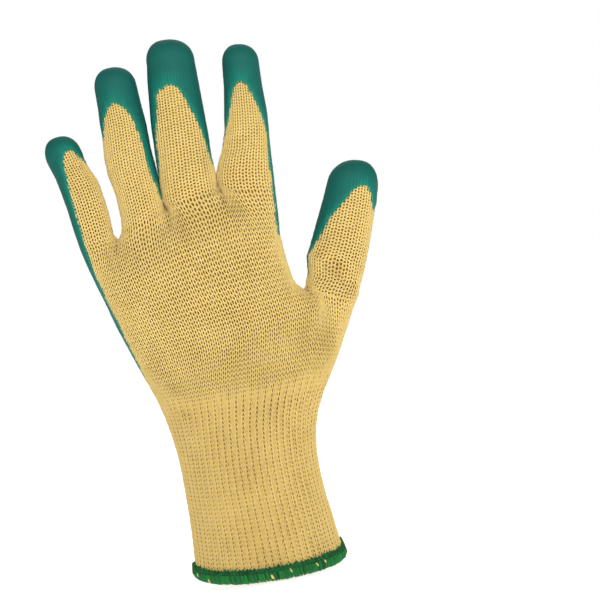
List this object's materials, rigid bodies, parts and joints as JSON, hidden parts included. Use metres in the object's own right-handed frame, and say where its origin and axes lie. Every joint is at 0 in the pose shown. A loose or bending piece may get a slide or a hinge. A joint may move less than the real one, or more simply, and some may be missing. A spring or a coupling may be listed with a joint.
{
  "type": "nitrile coated cotton work glove",
  "caption": "Left-hand knitted cotton work glove in its worn shape, with a crinkled nitrile palm and fingertips, a long rib-knit cuff and an overlocked hem.",
  "frame": {"origin": "centre of the wrist opening at the level of the hem", "axes": "+Z from the wrist opening to the fingertips, -Y out of the back of the hand, +Y out of the palm, +X towards the thumb"},
  "size_m": [0.1468, 0.0536, 0.2494],
  "materials": {
    "cotton_knit": "warm yellow plain-knitted cotton, matt and slightly fuzzy",
    "rib_knit": "warm yellow rib-knitted cotton with elastic, matt",
    "nitrile_coating": "deep green crinkled nitrile dip, soft sheen on the creases",
    "overlock_thread": "green polyester overlock thread, dense and slightly glossy"
  },
  "bodies": {
    "root": {"knit_liner": "cotton_knit", "rib_cuff": "rib_knit", "palm_coating": "nitrile_coating", "hem_binding": "overlock_thread"}
  },
  "joints": []
}
